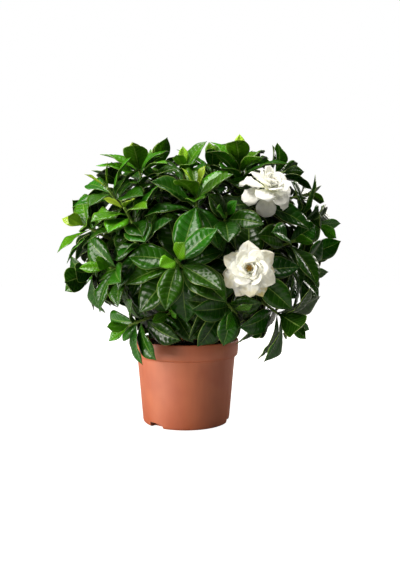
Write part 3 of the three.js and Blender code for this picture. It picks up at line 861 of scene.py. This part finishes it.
def young_bark():
    """Bark of a young woody stem: grey-brown and finely fissured low down, greener towards the shoots."""
    made, add, places = material("young_bark")
    height = add("SeparateXYZ", places).outputs["Z"]
    fissures = add("TexNoise", add("Mapping", places, named={"Scale": (1, 1, 0.2)}), grain(1.1), DETAIL)
    spots = add("TexNoise", places, grain(2.5), DETAIL)
    base = add("ValToRGB", fissures, stops=[(0.3, "#3f3222"), (0.5, "#6f5d42"), (0.7, "#8d7c5c")])
    green = add("ValToRGB", fissures, stops=[(0.3, "#3f4a1e"), (0.7, "#74803c")])
    base = add("Mix", add("MapRange", height, 0.12, 0.24, 0, 0.85), base, green)
    base = add("Mix", add("MapRange", spots, 0.66, 0.72, 0, 0.6), base, "#a3967a")
    rough = add("MapRange", fissures, 0.3, 0.7, 0.85, 0.6)
    finished(add, {"Base Color": base, "Roughness": rough}, fissures, 0.5)
    return made


def vein_lines(add):
    """From a leaf's own map: nearness to a lateral vein, to the midrib and to the margin, 0 to 1."""
    u, v, _ = add("SeparateXYZ", add("UVMap")).outputs
    off_midrib = add("Math", add("Math", u, 0.5, **MINUS), operation="ABSOLUTE")
    off_vein = add("Math", add("Math", v, VEIN_PAIRS, **TIMES), 0.5, operation="PINGPONG")
    short_of_margin = add("MapRange", off_midrib, 0.36, 0.47, 1, 0)
    near_vein = add("MapRange", off_vein, 0.02, 0.13, 1, 0)
    lateral = add("Math", near_vein, short_of_margin, **TIMES)
    midrib = add("MapRange", off_midrib, 0.008, 0.032, 1, 0)
    return lateral, midrib, add("MapRange", off_midrib, 0.478, 0.494)


def fine_net(add):
    """The net of the finest veins, a cell being about 2 mm."""
    places = add("Mapping", add("UVMap"), named={"Scale": (14, 28, 1)})
    cells = add("TexVoronoi", places, named={"Scale": 1}, feature="DISTANCE_TO_EDGE")
    return add("MapRange", cells, 0, 0.12)


def leaf_colour(add, places, stops):
    """The leaf's green by its age, made a little lighter or darker from leaf to leaf and place to place."""
    age, tint = (add("Attribute", attribute_name=name).outputs["Fac"] for name in ("age", "tint"))
    patches = add("MapRange", add("TexNoise", places, grain(14), DETAIL), 0.3, 0.7, -0.08, 0.16)
    value = add("Math", add("MapRange", tint, 0, 1, 0.65, 1.15), patches, **PLUS)
    hue = add("MapRange", tint, 0, 1, 0.492, 0.512)
    inputs = {"Hue": hue, "Value": value, "Color": add("ValToRGB", age, stops=stops)}
    return add("HueSaturation", named=inputs)


def waxy_leaf_face():
    """A gardenia leaf's upper face: thick clear wax over deep green, so it mirrors the light in streaks
    between its sunken lateral veins; new leaves are yellow-green."""
    made, add, places = material("waxy_leaf_face")
    lateral, midrib, margin = vein_lines(add)
    stops = [(0, "#8eac2a"), (0.3, "#508a0a"), (0.6, "#245403"), (1, "#0f2c02")]
    base = leaf_colour(add, places, stops)
    # The pale line along the margin (#8fa355) is a painted highlight, where light catches the leaf's edge.
    lines = [(lateral, 0.12, "#5d8a30"), (midrib, 0.42, "#85a34e"), (margin, 0.55, "#8fa355")]
    for line, strength, colour in lines:
        base = add("Mix", add("Math", line, strength, **TIMES), base, colour)
    wax = add("TexNoise", places, grain(5), DETAIL)
    grooves = add("Math", add("Math", lateral, 0.8, **TIMES), midrib, **PLUS)
    net = add("Math", fine_net(add), 0.05, **TIMES)
    inputs = {
        "Base Color": base,
        "Roughness": add("MapRange", wax, 0.3, 0.7, 0.28, 0.4),
        "IOR": 1.45,
        "Specular IOR Level": 0.12,
        "Coat Weight": 0.38,
        "Coat Roughness": 0.17,
    }
    finished(add, inputs, add("Math", net, grooves, **MINUS), 0.35, 0.8)
    return made


def matt_leaf_back():
    """A gardenia leaf's underside: paler, matt, with its veins standing out."""
    made, add, places = material("matt_leaf_back")
    lateral, midrib, _ = vein_lines(add)
    base = leaf_colour(add, places, [(0, "#96b03e"), (0.4, "#547824"), (1, "#2e4a14")])
    veins = add("Math", add("Math", lateral, 0.5, **TIMES), midrib, operation="MAXIMUM")
    base = add("Mix", add("Math", veins, 0.6, **TIMES), base, "#a3b878")
    net = add("Math", fine_net(add), -0.1, **TIMES)
    inputs = {"Base Color": base, "Roughness": 0.5, "IOR": 1.4, "Specular IOR Level": 0.25}
    finished(add, inputs, add("Math", veins, net, **PLUS), 0.4, 0.8)
    return made


def green_stem():
    """A soft green shoot, faintly ribbed."""
    made, add, places = material("green_stem")
    streaks = add("TexNoise", places, grain(1.5), DETAIL)
    base = add("ValToRGB", streaks, stops=[(0.3, "#4c6b22"), (0.5, "#6a8a34"), (0.75, "#8b8f4a")])
    finished(add, {"Base Color": base, "Roughness": 0.5, "IOR": 1.45}, streaks, 0.15)
    return made


def creamy_petal():
    """A thick, soft petal: milk white with a satin sheen, cream at its claw, and yellowed and browned at
    the tips as it ages."""
    made, add, places = material("creamy_petal")
    along = add("SeparateXYZ", add("UVMap")).outputs["Y"]
    patches = add("TexNoise", places, grain(6), DETAIL)
    stops = [(0.05, "#e6e8ba"), (0.3, "#f6f7e2"), (0.6, "#f9faf0"), (1, "#f9faee")]
    base = add("ValToRGB", along, stops=stops)
    outwards = add("Math", along, add("MapRange", patches, 0.3, 0.7, -0.15, 0.15), **PLUS)
    wilt = add("Attribute", attribute_name="wilt").outputs["Fac"]
    aged = add("Math", wilt, add("MapRange", outwards, 0.5, 0.9), **TIMES)
    # Pleats a little under 1 mm apart.
    ribs = add("TexNoise", add("Mapping", add("UVMap"), named={"Scale": (26, 1.6, 1)}), 1)
    inputs = {
        "Base Color": add("Mix", aged, base, "#d0bd6c"),
        "Roughness": 0.5,
        "IOR": 1.4,
        "Specular IOR Level": 0.35,
        "Subsurface Weight": 0.6,
        "Subsurface Radius": (1, 1, 0.9),
        "Subsurface Scale": 0.003,
        "Sheen Weight": 0.15,
    }
    rise = add("Math", ribs, add("Math", patches, 0.5, **TIMES), **PLUS)
    finished(add, inputs, rise, 0.25, 0.6)
    return made


def pollen_anther():
    """Anthers that have shed: brown-yellow, dusty."""
    made, add, places = material("pollen_anther")
    dust = add("TexNoise", places, grain(0.8), DETAIL)
    base = add("ValToRGB", dust, stops=[(0.35, "#6d4a17"), (0.55, "#b0842c"), (0.7, "#dcc063")])
    finished(add, {"Base Color": base, "Roughness": 0.85, "IOR": 1.4}, dust, 0.3)
    return made


# ---- the pot and its soil ----


def make_pot():
    """The pot: turned from its profile, with drain notches cut through its foot and its edges softened."""
    band = POT_HEIGHT - BAND_DEPTH
    outside = [(FOOT_RADIUS - 3, 0), (FOOT_RADIUS - 1.6, 0.3), (FOOT_RADIUS - 0.5, 1.3), (FOOT_RADIUS, 3.2)]
    outside += [(FOOT_RADIUS + (SHOULDER_RADIUS - FOOT_RADIUS) / 2, (band + 3.2) / 2)]
    outside += [(SHOULDER_RADIUS - 0.1, band - 0.6), (SHOULDER_RADIUS, band)]
    collar = [(-2.6, band + 0.4), (-1.6, band + 1.2), (-0.9, band + 2.8), (-0.4, band + 8)]
    collar += [(0, POT_HEIGHT - 1.2), (-0.2, POT_HEIGHT - 0.4), (-0.7, POT_HEIGHT)]
    outside += [(RIM_RADIUS + step, height) for step, height in collar]
    inside = [(RIM_RADIUS - WALL + 0.1, POT_HEIGHT - 0.1), (RIM_RADIUS - WALL, POT_HEIGHT - 0.8)]
    inside += [(RIM_RADIUS - WALL - 0.9, band + 3), (SHOULDER_RADIUS - WALL, band)]
    inside += [(FOOT_RADIUS - WALL, FLOOR + 1.6), (FOOT_RADIUS - WALL - 2, FLOOR)]
    profile = [(POT_CENTRE, 0), *outside, *inside, (POT_CENTRE, FLOOR)]
    pot = turned("nursery_pot", profile, POT_SIDES)
    for i in range(DRAINS["count"]):
        angle = math.radians(DRAINS["first"] + 360 / DRAINS["count"] * i)
        place = (FOOT_RADIUS * MM * math.cos(angle), FOOT_RADIUS * MM * math.sin(angle), 0)
        size = (DRAINS["depth"] * 2 * MM, DRAINS["width"] * MM, DRAINS["height"] * 2 * MM)
        block = {"size": 1, "location": place, "rotation": (0, 0, angle), "scale": size}
        notch = primitive(bpy.ops.mesh.primitive_cube_add, **block)
        applied(notch, "BEVEL", width=SOFT_EDGE * MM, segments=3)
        applied(pot, "BOOLEAN", object=notch, operation="DIFFERENCE", solver="EXACT")
        bpy.data.objects.remove(notch)
    alone(pot)
    bpy.ops.object.shade_smooth_by_angle(angle=math.radians(40))
    return dressed(pot, moulded_polypropylene())


def make_soil():
    """The soil: a lumpy fill with holes for the stems, and loose crumbs over it."""
    clear = WALL + GAP
    low = FLOOR + DRAINS["height"]
    band = POT_HEIGHT - BAND_DEPTH
    top = RIM_RADIUS - clear - 2
    profile = [
        (POT_CENTRE, low),
        (FOOT_RADIUS - clear - DRAINS["depth"], low),
        (FOOT_RADIUS - clear + 0.2, low + 3),
        (SHOULDER_RADIUS - clear - 0.5, band - 1),
        (top, SOIL_TOP - 1.5),
        *[(top * (1 - step / 16), SOIL_TOP) for step in range(1, 16)],
    ]
    soil = turned("compost", profile, SOIL_SIDES)

    def lumpy(points):
        lumps = np.array([noise.noise(Vector(p) / 7) + 0.6 * noise.noise(Vector(p) / 2.6) for p in points])
        on_top = points[:, 2] > SOIL_TOP - 0.5
        return points + UP * (1.9 * lumps * on_top)[:, None]

    reshaped(soil, lumpy)
    for root, _ in CUTTINGS.values():
        hole = primitive(
            bpy.ops.mesh.primitive_cylinder_add,
            vertices=20,
            radius=(TRUNK_RADII[0] + 0.5) * MM,
            depth=2 * (ROOTED + GAP) * MM,
            location=(root[0] * MM, root[1] * MM, SOIL_TOP * MM),
        )
        applied(soil, "BOOLEAN", object=hole, operation="DIFFERENCE", solver="EXACT")
        bpy.data.objects.remove(hole)
    return dressed(joined([soil, *make_crumbs(top)], "compost"), moist_peat())


def make_crumbs(reach):
    """Crumbs of peat, one lump copied with its own size, squash and turn, lying over the soil."""
    crumb = primitive(bpy.ops.mesh.primitive_ico_sphere_add, subdivisions=2, radius=1 * MM)
    reshaped(crumb, lambda points: points * [[1 + 0.5 * noise.noise(Vector(p) * 1.3)] for p in points])
    bpy.ops.object.shade_smooth()
    draw = seeded(SEEDS["crumbs"])
    crumbs = []
    for _ in range(CRUMBS):
        far, turn = (reach - 1.5) * math.sqrt(next(draw)), 2 * math.pi * next(draw)
        place = point(far * math.cos(turn), far * math.sin(turn), SOIL_TOP + 0.6 * next(draw))
        size = point(*[0.8 + 1.5 * next(draw) ** 2 for _ in range(3)])
        if min(math.hypot(*(place[:2] - root)) for root, _ in CUTTINGS.values()) < TRUNK_RADII[0] + 2.5:
            continue
        along = heading(360 * next(draw), 90 * next(draw))
        crumbs.append(copied(crumb, lambda points: standing(place, along)(points * size)))
    bpy.data.objects.remove(crumb)
    return crumbs


# ---- the woody stems ----


def limb(points, radii):
    """A bent, tapering limb with a slight swelling at each old leaf scar."""
    curve = bpy.data.curves.new("limb", "CURVE")
    curve.dimensions = "3D"
    curve.bevel_depth = MM
    curve.bevel_resolution = 3
    curve.use_fill_caps = True
    spline = curve.splines.new("POLY")
    spline.points.add(len(points) - 1)
    for i, (place, radius) in enumerate(zip(points, np.linspace(*radii, len(points)))):
        spline.points[i].co = (*(place * MM), 1)
        spline.points[i].radius = radius * (SCARS["swelling"] if i % SCARS["every"] == 4 else 1)
    made = bpy.data.objects.new("limb", curve)
    bpy.context.collection.objects.link(made)
    alone(made)
    bpy.ops.object.convert(target="MESH")
    return bpy.context.active_object


def make_wood(cutting, bark):
    """A rooted cutting: its trunk and branches, grown into one skin and roughened as bark."""
    root, _ = CUTTINGS[cutting]
    trunk = curve_points(trunk_curve(cutting), STEPS["trunk"])
    buried = np.linspace(point(*root, SOIL_TOP - ROOTED), trunk[0], 6)[:-1]
    limbs = [limb(np.concatenate((buried, trunk)), TRUNK_RADII)]
    for branch in branches_of(cutting).values():
        limbs.append(limb(curve_points(branch, STEPS["branch"]), BRANCH_RADII))
    wood = joined(limbs, f"wood_of_{cutting}")
    applied(wood, "REMESH", mode="VOXEL", voxel_size=BARK["voxel"] * MM)
    applied(wood, "SMOOTH", factor=0.5, iterations=3)
    fissures = bpy.data.textures.new("fissures", "CLOUDS")
    fissures.noise_scale = BARK["fissures"] * MM
    depth = BARK["depth"] * MM
    applied(wood, "DISPLACE", texture=fissures, strength=depth, mid_level=0.5, texture_coords="LOCAL")
    bpy.ops.object.shade_smooth()
    return dressed(wood, bark)


# ---- the patterns that are copied ----

LEAF_PATTERN = {"length": 60, "width": 30, "across": 6, "along": 3 * VEIN_PAIRS, "thickness": 0.45}
OLD_LEAF_PATTERN = LEAF_PATTERN | {"across": 4, "along": 14}
PLEATS = {"depth": 0.35, "halves": 4.5}
SIDES_SHORT = 0.06  # how far a petal's sides end short of its middle, against its length
VEIN_SLANT = 0.13  # how far a lateral vein runs forward on its way out, against the leaf's length
QUILTING = 1.9
HUMP = 1.7
PETAL_PATTERN = {"length": 26, "width": 22, "across": 16, "along": 18, "thickness": 0.45}


def sheet(name, sizes, rule):
    """A flat grid shaped by a rule from u and v, 0 to 1, and given its thickness below."""
    cells = {"x_subdivisions": sizes["across"], "y_subdivisions": sizes["along"]}
    grid = primitive(bpy.ops.mesh.primitive_grid_add, size=1 * MM, calc_uvs=True, **cells)
    pattern = at_origin(grid, name)
    reshaped(pattern, lambda points: rule(points[:, 0] + 0.5, points[:, 1] + 0.5))
    bpy.ops.object.mode_set(mode="EDIT")
    bpy.ops.mesh.select_all(action="SELECT")
    bpy.ops.mesh.remove_doubles(threshold=0.01 * MM)
    bpy.ops.object.mode_set(mode="OBJECT")
    thickness = sizes["thickness"] * MM
    applied(pattern, "SOLIDIFY", thickness=thickness, offset=-1, material_offset=1, material_offset_rim=1)
    bpy.ops.object.shade_smooth()
    return pattern


def model_leaf(sizes, face, back):
    """The pattern for every leaf: flat along +Y, its rows running out along the lateral veins, puffed up
    between them, its halves humped, its margins turned down and its tip drawn out."""

    def shape(u, v):
        s = 2 * u - 1
        t = v + VEIN_SLANT * np.sin(np.pi * v) * np.abs(s) * (0.6 + 0.4 * np.abs(s))
        outline = leaf_outline(t)
        drawn_out = outline ** (0.6 * share_past(t, *TIP))
        puff = QUILTING * np.sin(np.pi * VEIN_PAIRS * v) ** 2 * np.sqrt(np.abs(s)) * (1 - np.abs(s) ** 3)
        hump = HUMP * (np.abs(s) * (1 - s * s) - 0.5 * s**4)
        across = s * outline * drawn_out * sizes["width"] / 2
        return np.stack((across, sizes["length"] * t, (puff + hump) * outline), axis=1)

    return dressed(sheet("leaf_pattern", sizes, shape), face, back)


def model_petal(skin):
    """The pattern for every petal: faintly pleated, its sides ending a little short of its middle."""

    def shape(u, v):
        s = 2 * u - 1
        t = v - SIDES_SHORT * s * s * v
        outline = petal_outline(t)
        pleats = PLEATS["depth"] * np.sin(PLEATS["halves"] * np.pi * s) * np.sin(np.pi * t) * outline
        across = s * outline * PETAL_PATTERN["width"] / 2
        return np.stack((across, PETAL_PATTERN["length"] * t, pleats), axis=1)

    return dressed(sheet("petal_pattern", PETAL_PATTERN, shape), skin, skin)


def laid_on(blade, sizes):
    """A rule that lays a flat pattern on a blade. Its edges get a finer frill, and its margins and its
    end may curl back."""
    scale = blade.width / sizes["width"]

    def rule(flat):
        t = np.clip(flat[:, 1] / sizes["length"], 0, 1)
        outline = blade.outline(t)
        s = np.clip(flat[:, 0] * scale / np.maximum(outline * blade.width / 2, 0.05), -1, 1)
        across = flat[:, 0] * scale * narrowing(blade, t)
        ripple = blade.wave * np.sin(2 * np.pi * blade.waves * t + blade.phase + s)
        ripple += blade.frill * scale * np.sin(FRILLING * t + 3 * blade.phase * np.sign(s) + 2 * s)
        curled = MARGIN_CURL * np.abs(s) ** 3 * t**2 + END_CURL * share_past(t, *END) ** 2
        lift = np.abs(across) * math.sin(blade.fold) + ripple * s * s * outline + flat[:, 2] * scale
        lift -= blade.curl * curled
        middle, side, up = blade_frame(blade, t)
        return middle + side * (across * math.cos(blade.fold))[:, None] + up * lift[:, None]

    return rule


def model_stem(skin):
    """The pattern for every shoot's stem: slim, swollen at its whorls."""
    base, top = SHOOT["radii"]
    profile = [(base * 0.6, -0.2)]
    for step in range(23):
        share = step / 22
        swelling = sum(0.45 * math.exp(-(((share - whorl.place) / 0.028) ** 2)) for whorl in WHORLS)
        profile.append((base + (top - base) * share + swelling, SHOOT["length"] * 0.975 * share))
    return dressed(turned("stem_pattern", profile, 12), skin)


def model_bud(skin):
    """The pattern for the bud at a shoot's end: two pressed scales drawn out to a point."""
    profile = [(0.9, 0), (1.5, 1.4), (1.7, 3), (1.35, 5), (0.8, 7), (0.3, 8.6), (0.08, 9.2)]
    bud = turned("bud_pattern", profile, 10)
    return dressed(reshaped(bud, lambda points: points * (1, 0.6, 1)), skin)


# ---- shoots and blooms ----

# The age of each whorl's leaves, 1 being old, and how much of a shoot's freshness each whorl shows.
BUD_PLACE = 0.96
AGES = (1.0, 0.92, 0.82, 0.58)
YOUTH = (0.15, 0.35, 0.7, 1.1)


def make_shoot(shoot, leaves, old, patterns):
    """A shoot: its stem, its bud and its leaves, each leaf with its own age and tint."""
    draw = seeded(SEEDS["tints"] + list(SHOOTS).index(shoot))
    axis = axis_of(shoot)
    pieces = [copied(patterns["stem"], standing(foot_of(shoot), axis))]
    if shoot not in FLOWERING:
        bud_foot = foot_of(shoot) + axis * SHOOT["length"] * BUD_PLACE
        pieces.append(copied(patterns["bud"], standing(bud_foot, axis)))
    for row, leaf in leaves:
        age = AGES[row] - FRESH.get(shoot, 0) * YOUTH[row] + 0.2 * (next(draw) - 0.5)
        place = laid_on(leaf, LEAF_PATTERN)
        pieces.append(copied(patterns["leaf"], place, age=min(1, max(0, age)), tint=next(draw)))
    for leaf in old:
        place = laid_on(leaf, OLD_LEAF_PATTERN)
        pieces.append(copied(patterns["old_leaf"], place, age=1, tint=next(draw)))
    return joined(pieces, f"shoot_{shoot}_leaves")


def make_bloom(name, bloom, petals, patterns):
    """A bloom: its petals round the green-white core that they stand on."""
    axis = axis_of(bloom["shoot"])
    top = PETAL_WHORLS[-1].place + CORE["node"] / 2
    base = CORE["radii"][0]
    core = turned("core", [(base * 0.7, 0), (base, 0.8), (base, top - 0.8), (base * 0.6, top)], 16)
    core = dressed(core, patterns["petal"].data.materials[0])
    reshaped(core, standing(seat_of(bloom["shoot"]), axis))
    pieces = [core]
    draw = seeded(SEEDS["wilt"] + bloom["turn"])
    for row, petal in petals:
        wilt = bloom["wilt"] * WILTED[row] * (0.5 + next(draw))
        pieces.append(copied(patterns["petal"], laid_on(petal, PETAL_PATTERN), wilt=wilt))
    return joined(pieces, f"{name}_petals")


def make_heart(name, bloom, skin):
    """The club of the style in the middle of a bloom, and the stamens bent out round it."""
    axis = axis_of(bloom["shoot"])
    foot = seat_of(bloom["shoot"]) + axis * (PETAL_WHORLS[-1].place + CORE["node"] / 2 + GAP)
    wide, narrow = HEART["radii"]
    club = [(wide * 0.6, 0), (wide, 0.5), (narrow, 1.6), (narrow * 1.1, 2.3)]
    club = turned("club", [*club, (narrow * 0.7, HEART["height"])], 14)
    pieces = [copied(club, standing(foot, axis))]
    anther = turned("anther", [(0.25, 0), (0.75, 0.8), (0.95, 2), (0.7, 3.2), (0.2, 4)], 8)
    for side in range(HEART["stamens"]):
        outward = aside(axis, bloom["turn"] + SIDE_TURN * side)
        along, _ = spread_blade(axis, outward, math.radians(HEART["spread"]))
        root = foot + axis * HEART["height"] * 0.55 + outward * wide * 0.5
        pieces.append(copied(anther, standing(root, along)))
    for pattern in (club, anther):
        bpy.data.objects.remove(pattern)
    return dressed(joined(pieces, f"{name}_stamens"), skin)


# ---- the whole plant ----

leaves, old_leaves, petals = grow_plant()

stands_for(make_pot(), "pot", "pot")
stands_for(make_soil(), "soil", "soil")
bark = young_bark()
for cutting in CUTTINGS:
    stands_for(make_wood(cutting, bark), "bark", f"wood_{cutting}")

stem_skin = green_stem()
leaf_face, leaf_back = waxy_leaf_face(), matt_leaf_back()
patterns = {
    "leaf": model_leaf(LEAF_PATTERN, leaf_face, leaf_back),
    "old_leaf": model_leaf(OLD_LEAF_PATTERN, leaf_face, leaf_back),
    "petal": model_petal(creamy_petal()),
    "stem": model_stem(stem_skin),
    "bud": model_bud(stem_skin),
}
for shoot in SHOOTS:
    dressed_shoot = make_shoot(shoot, leaves[shoot], old_leaves[shoot], patterns)
    stands_for(dressed_shoot, "foliage", f"shoot_{shoot}")
anther_skin = pollen_anther()
for name, bloom in BLOOMS.items():
    stands_for(make_bloom(name, bloom, petals[name], patterns), "petal", f"{name}_bloom")
    stands_for(make_heart(name, bloom, anther_skin), "heart", f"{name}_bloom_heart")
for pattern in patterns.values():
    bpy.data.objects.remove(pattern)

# ---- the floor, the light and the camera ----


def make_floor():
    """A plain pale floor. It looks plain white away from the pot but casts no light of its own."""
    made, add, places = material("pale_floor")
    away = add("VectorMath", places, operation="LENGTH")
    straight = add("LightPath").outputs["Is Camera Ray"]
    glow = add("Math", add("MapRange", away, 0.05, 0.25, 0.92, 1), straight, **TIMES)
    inputs = {"Base Color": "#a8a8a4", "Roughness": 0.9, "Emission Color": "#ffffff"}
    add("OutputMaterial", add("BsdfPrincipled", named=inputs | {"Emission Strength": glow}))
    disc = primitive(bpy.ops.mesh.primitive_circle_add, vertices=96, radius=4, fill_type="NGON")
    floor = dressed(at_origin(disc, "floor"), made)


# Square soft boxes: place, what they face, size and power. The key stands on the left, the others
# behind, above, and low down in front.
PLANT_MIDDLE = (0, 0, 0.2)
SOFT_BOXES = {
    "key": ((-1.3, -0.55, 0.45), PLANT_MIDDLE, 0.9, 29),
    "back": ((0.9, 0.8, 0.7), PLANT_MIDDLE, 0.5, 9),
    "top": ((-0.2, -0.25, 1.3), PLANT_MIDDLE, 0.8, 26),
    "low": ((-0.85, -0.8, 0.09), (0, 0, 0.06), 0.3, 5.5),
}


def make_light():
    """Soft, slightly warm studio light, in air that looks white and mirrors dark."""
    for name, (place, target, size, power) in SOFT_BOXES.items():
        light = bpy.data.lights.new(name, "AREA")
        light.size = size
        light.energy = power
        light.color = (1, 0.96, 0.9)
        box = bpy.data.objects.new(name, light)
        box.location = place
        box.rotation_euler = (Vector(target) - Vector(place)).to_track_quat("-Z", "Y").to_euler()
        bpy.context.collection.objects.link(box)
    world = bpy.data.worlds.new("pale_air")
    world.use_nodes = True
    world.node_tree.nodes.clear()
    bpy.context.scene.world = world
    add = partial(add_node, world.node_tree)
    path = add("LightPath").outputs
    strength = add("MapRange", path["Is Glossy Ray"], 0, 1, 0.17, 0.03)
    lit = add("Background", (1, 0.98, 0.92, 1), strength)
    seen = add("Background", (1, 1, 1, 1), 1)
    add("OutputWorld", add("MixShader", path["Is Camera Ray"], lit, seen))
    bpy.context.scene.view_settings.view_transform = "Standard"


CAMERA = {"place": (0.016, -0.7, 0.182), "down": 2.08, "lens": 38.3, "sensor": 36}


def make_camera():
    """The camera stands in front of the plant, level with its leaves, and looks a little down."""
    lens = bpy.data.cameras.new("camera")
    lens.lens = CAMERA["lens"]
    lens.sensor_width = CAMERA["sensor"]
    camera = bpy.data.objects.new("camera", lens)
    camera.location = CAMERA["place"]
    camera.rotation_euler = (math.radians(90 - CAMERA["down"]), 0, 0)
    bpy.context.collection.objects.link(camera)
    bpy.context.scene.camera = camera


make_floor()
make_light()
make_camera()
